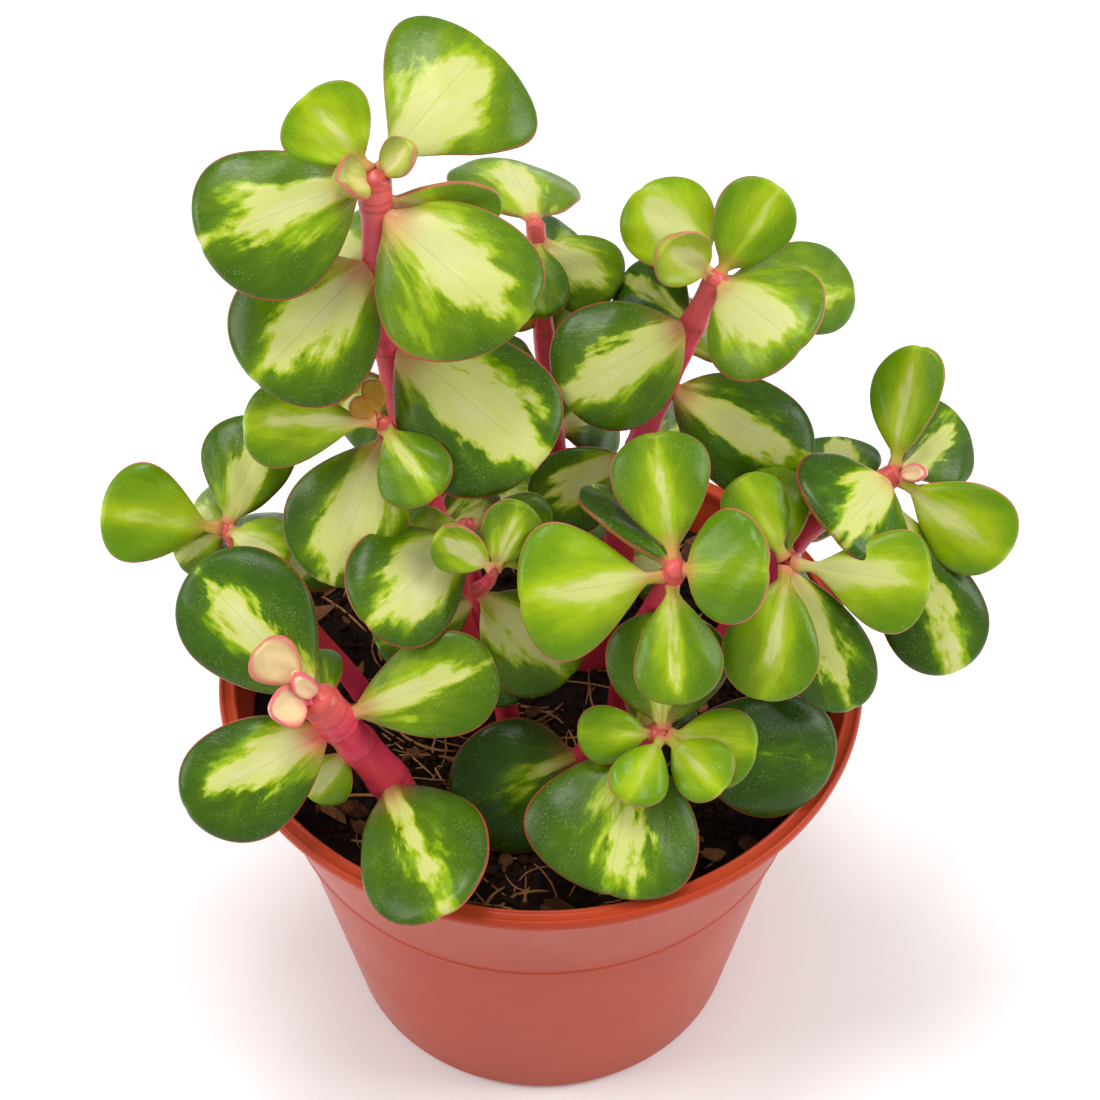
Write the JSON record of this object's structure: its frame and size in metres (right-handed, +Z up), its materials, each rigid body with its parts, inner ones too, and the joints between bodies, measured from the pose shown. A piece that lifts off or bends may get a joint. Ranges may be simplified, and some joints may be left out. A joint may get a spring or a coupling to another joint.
{
  "type": "potted elephant bush succulent",
  "caption": "Small branching elephant bush succulent with round cream-centred green leaves on pink stems, planted in dark soil in a tapered terracotta-coloured plastic pot.",
  "frame": {"origin": "centre of the pot's base, on the surface it stands on", "axes": "+Z up along the pot's axis; the side of the bush shown in the picture faces -Y, and +X is to the right in that view"},
  "size_m": [0.1316, 0.101, 0.1662],
  "materials": {
    "pot_plastic": "satin terracotta-coloured plastic with a faint moulding sheen",
    "soil": "dark potting soil with bark chips and root fibres",
    "leaf": "smooth fleshy leaf, green margin with a streaked cream centre, on a pink stem"
  },
  "bodies": {
    "root": {"pot": "pot_plastic", "soil": "soil", "stem_tall": "leaf", "stem_back": "leaf", "stem_centre_right": "leaf", "stem_right": "leaf", "stem_centre": "leaf", "stem_front": "leaf", "stem_front_left": "leaf", "stem_left": "leaf", "stem_inner": "leaf"}
  },
  "joints": []
}
